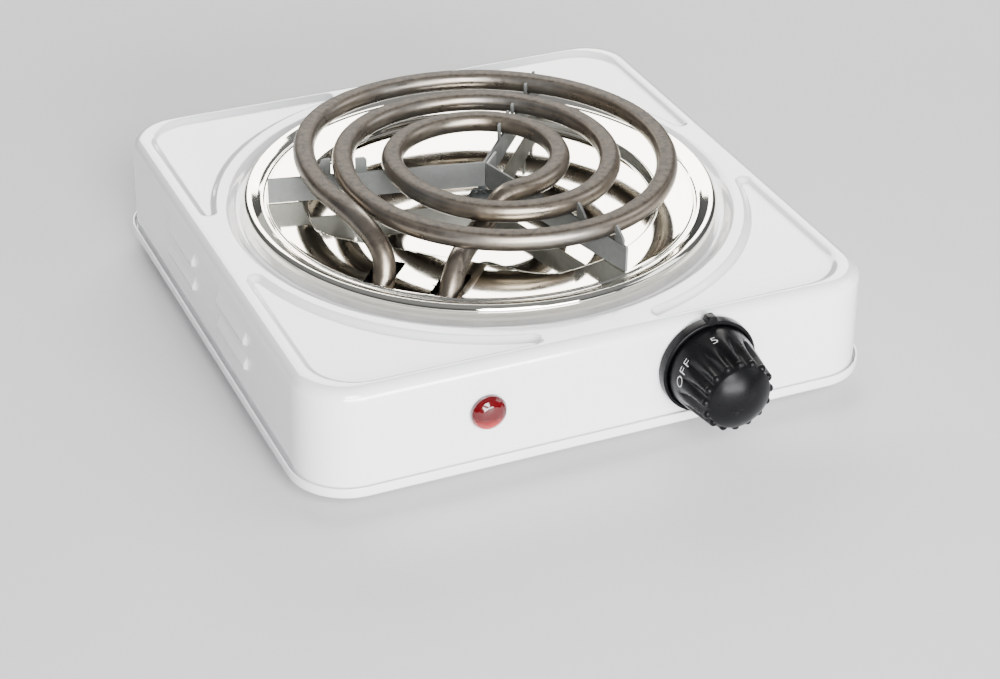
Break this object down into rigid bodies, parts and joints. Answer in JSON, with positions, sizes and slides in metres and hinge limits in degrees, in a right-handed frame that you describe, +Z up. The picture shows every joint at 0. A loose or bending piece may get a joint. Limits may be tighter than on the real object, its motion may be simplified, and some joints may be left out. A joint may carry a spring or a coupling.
{
  "type": "electric hot plate",
  "caption": "Portable electric hot plate: square enamelled case, chromed drip pan, spiral heating coil on a sheet-metal support, rotary thermostat knob and pilot lamp.",
  "frame": {"origin": "centre of the overall box at the undersides of the feet", "axes": "+Z up, -Y towards the front with the knob, +X to the right as seen from the front"},
  "size_m": [0.23, 0.2678, 0.0712],
  "materials": {
    "white_enamel": "gloss white enamel",
    "chrome": "bright chrome plate",
    "coil_sheath": "heat-stained steel sheath",
    "zinc_steel": "galvanised",
    "black_plastic": "gloss black phenolic",
    "black_rubber": "matt",
    "red_lens": "clear red",
    "ceramic": "unglazed",
    "bulb_glass": "clear",
    "wire_sleeve": "braided glass sleeve",
    "earth_sleeve": "green sleeve",
    "brass": "plain"
  },
  "bodies": {
    "case": {"housing": "white_enamel", "bottom_cover": "white_enamel", "foot_front_left": "black_rubber", "foot_front_right": "black_rubber", "foot_rear_left": "black_rubber", "foot_rear_right": "black_rubber", "foot_screw_front_left": "zinc_steel", "foot_screw_front_right": "zinc_steel", "foot_screw_rear_left": "zinc_steel", "foot_screw_rear_right": "zinc_steel", "drip_pan": "chrome", "heat_shield": "zinc_steel", "coil_support_main": "zinc_steel", "coil_support_side": "zinc_steel", "centre_screw": "zinc_steel", "centre_nut": "zinc_steel", "heating_coil": "coil_sheath", "coil_bushing_outer": "ceramic", "coil_bushing_inner": "ceramic", "coil_pin_outer": "zinc_steel", "coil_pin_inner": "zinc_steel", "knob_bezel": "black_plastic", "thermostat_bracket": "zinc_steel", "thermostat_body": "ceramic", "thermostat_screw_left": "zinc_steel", "thermostat_screw_right": "zinc_steel", "thermostat_blade_left": "brass", "thermostat_blade_right": "brass", "lamp_lens": "red_lens", "lamp_clip": "zinc_steel", "lamp_bulb": "bulb_glass", "cord_gland": "black_plastic", "gland_nut": "black_plastic", "terminal_block": "ceramic", "terminal_block_screw": "zinc_steel", "earth_screw": "brass", "earth_nut": "brass", "wire_block_to_thermostat": "wire_sleeve", "wire_thermostat_to_coil": "wire_sleeve", "wire_coil_to_block": "wire_sleeve", "wire_earth": "earth_sleeve", "lamp_lead_coil": "wire_sleeve", "lamp_lead_block": "wire_sleeve"},
    "dial": {"knob": "black_plastic", "thermostat_shaft": "zinc_steel"}
  },
  "joints": [
    {"name": "knob_turn", "type": "hinge", "parent": "case", "child": "dial", "pos_m": [0.0395, -0.10194, 0.0313], "axis": [0, -1, 0], "range_deg": [-11, 289]}
  ]
}
